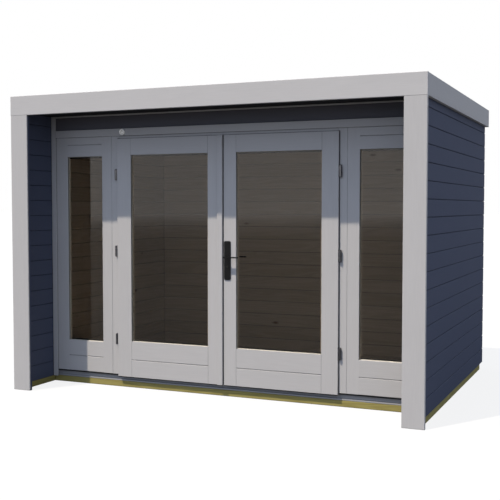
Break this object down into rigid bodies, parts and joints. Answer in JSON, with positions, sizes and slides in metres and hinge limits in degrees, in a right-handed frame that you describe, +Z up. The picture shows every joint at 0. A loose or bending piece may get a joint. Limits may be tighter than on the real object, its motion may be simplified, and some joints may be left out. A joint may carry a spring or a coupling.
{
  "type": "garden house",
  "caption": "Flat-roofed timber garden house with log walls, a shallow porch, glazed hinged double doors and fixed sidelights under a deep fascia.",
  "frame": {"origin": "on the ground, under the middle of the roof", "axes": "+X to the right seen from the front, +Y to the back, +Z up"},
  "size_m": [3.26, 2.5, 2.295],
  "materials": {
    "light_paint": "painted, matt",
    "dark_log": "painted, matt",
    "treated_beam": "pressure treated",
    "natural_wood": "planed",
    "membrane": "matt",
    "glass": "clear",
    "hinge_steel": "zinc plated",
    "handle_black": "satin black",
    "vent_white": "matt"
  },
  "bodies": {
    "house": {"base_beam_left": "treated_beam", "base_beam_right": "treated_beam", "base_beam_front": "treated_beam", "base_beam_rear": "treated_beam", "floor_joists": "treated_beam", "floor_deck": "natural_wood", "left_wall": "dark_log", "right_wall": "dark_log", "rear_wall": "dark_log", "front_header_log": "dark_log", "front_post_left": "light_paint", "front_post_right": "light_paint", "fascia_front": "light_paint", "fascia_left": "light_paint", "fascia_right": "light_paint", "fascia_rear": "light_paint", "roof_deck": "natural_wood", "roof_membrane": "membrane", "roof_beams": "natural_wood", "facade_sill": "light_paint", "facade_header_board": "light_paint", "corner_laths": "light_paint", "ceiling_lath": "light_paint", "door_jamb_left": "light_paint", "door_jamb_right": "light_paint", "door_head": "light_paint", "sidelight_left_stiles": "light_paint", "sidelight_left_rails": "light_paint", "sidelight_left_glass": "glass", "sidelight_right_stiles": "light_paint", "sidelight_right_rails": "light_paint", "sidelight_right_glass": "glass", "hinge_pins": "hinge_steel", "vent_rosette": "vent_white"},
    "left_door": {"door_left_stiles": "light_paint", "door_left_rails": "light_paint", "door_left_glass": "glass", "door_left_hinge_knuckles": "hinge_steel", "door_left_cover_strip": "light_paint"},
    "right_door": {"door_right_stiles": "light_paint", "door_right_rails": "light_paint", "door_right_glass": "glass", "door_right_hinge_knuckles": "hinge_steel", "door_handle_plates": "handle_black"},
    "door_handle": {"door_handle_levers": "handle_black"}
  },
  "joints": [
    {"name": "left_door_hinge", "type": "hinge", "parent": "house", "child": "left_door", "pos_m": [-0.928, -0.848, 1], "axis": [0, 0, -1], "range_deg": [0, 120]},
    {"name": "right_door_hinge", "type": "hinge", "parent": "house", "child": "right_door", "pos_m": [0.928, -0.848, 1], "axis": [0, 0, 1], "range_deg": [0, 120]},
    {"name": "handle_turn", "type": "hinge", "parent": "right_door", "child": "door_handle", "pos_m": [0.0475, -0.832, 1.062], "axis": [0, 1, 0], "range_deg": [0, 40], "stiffness_Nm_per_rad": 2, "springref_deg": -28.65}
  ]
}
